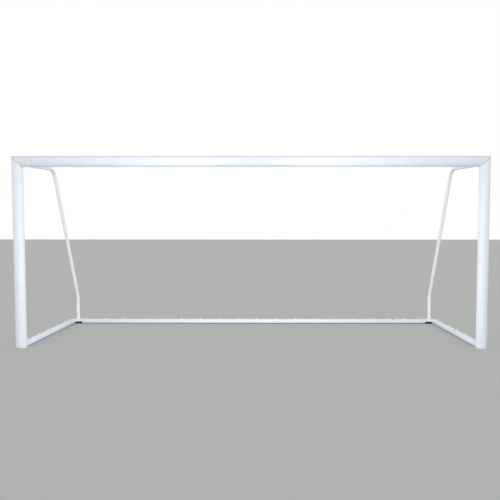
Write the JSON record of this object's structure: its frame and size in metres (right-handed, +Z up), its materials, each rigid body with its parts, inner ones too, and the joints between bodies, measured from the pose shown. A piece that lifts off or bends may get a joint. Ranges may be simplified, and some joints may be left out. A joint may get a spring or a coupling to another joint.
{
  "type": "soccer goal frame",
  "caption": "Free-standing youth soccer goal frame: mitred oval posts and crossbar, ground frame with hooks for a net, and bent supports that lift out.",
  "frame": {"origin": "on the ground, at the middle of the frame's outline seen from above", "axes": "+X to the right seen by a striker, +Y into the goal, +Z up"},
  "size_m": [5.24, 1.603, 2.12],
  "materials": {
    "frame_white": "gloss white polyester powder coat on aluminium",
    "support_white": "gloss white powder coat on aluminium tube",
    "casting_white": "white powder coat on cast aluminium",
    "cap_white": "moulded white polypropylene, satin",
    "hook_white": "moulded white nylon, satin",
    "pad_rubber": "black moulded rubber",
    "inner_aluminium": "bare cast or extruded aluminium",
    "zinc_steel": "bright zinc plate",
    "grey_bush": "dark grey nylon"
  },
  "bodies": {
    "frame": {"crossbar": "frame_white", "left_post": "frame_white", "right_post": "frame_white", "left_corner_connector": "inner_aluminium", "right_corner_connector": "inner_aluminium", "corner_connector_screws": "zinc_steel", "left_post_cap": "cap_white", "right_post_cap": "cap_white", "left_shoe": "casting_white", "right_shoe": "casting_white", "left_side_bar": "frame_white", "right_side_bar": "frame_white", "left_rear_corner": "casting_white", "right_rear_corner": "casting_white", "left_corner_pad": "pad_rubber", "right_corner_pad": "pad_rubber", "pad_screws": "zinc_steel", "left_rear_bar": "frame_white", "right_rear_bar": "frame_white", "rear_bar_sleeve": "inner_aluminium", "sleeve_rivets": "zinc_steel", "bar_screws": "zinc_steel", "anchor_bushes": "grey_bush", "left_support_bracket": "casting_white", "right_support_bracket": "casting_white", "t_slot_bolts": "zinc_steel", "t_slot_nuts": "zinc_steel", "left_socket_bush": "cap_white", "right_socket_bush": "cap_white", "crossbar_hooks": "hook_white", "left_post_hooks": "hook_white", "right_post_hooks": "hook_white", "left_side_bar_hooks": "hook_white", "right_side_bar_hooks": "hook_white", "left_rear_bar_hooks": "hook_white", "right_rear_bar_hooks": "hook_white"},
    "left_net_support": {"left_support_tube": "support_white", "left_support_tongue": "casting_white", "left_leg_plug": "cap_white"},
    "right_net_support": {"right_support_tube": "support_white", "right_support_tongue": "casting_white", "right_leg_plug": "cap_white"}
  },
  "joints": [
    {"name": "left_support_lift", "type": "slide", "parent": "frame", "child": "left_net_support", "axis": [0, 0, 1], "range_m": [0, 0.12]},
    {"name": "right_support_lift", "type": "slide", "parent": "frame", "child": "right_net_support", "axis": [0, 0, 1], "range_m": [0, 0.12]}
  ]
}
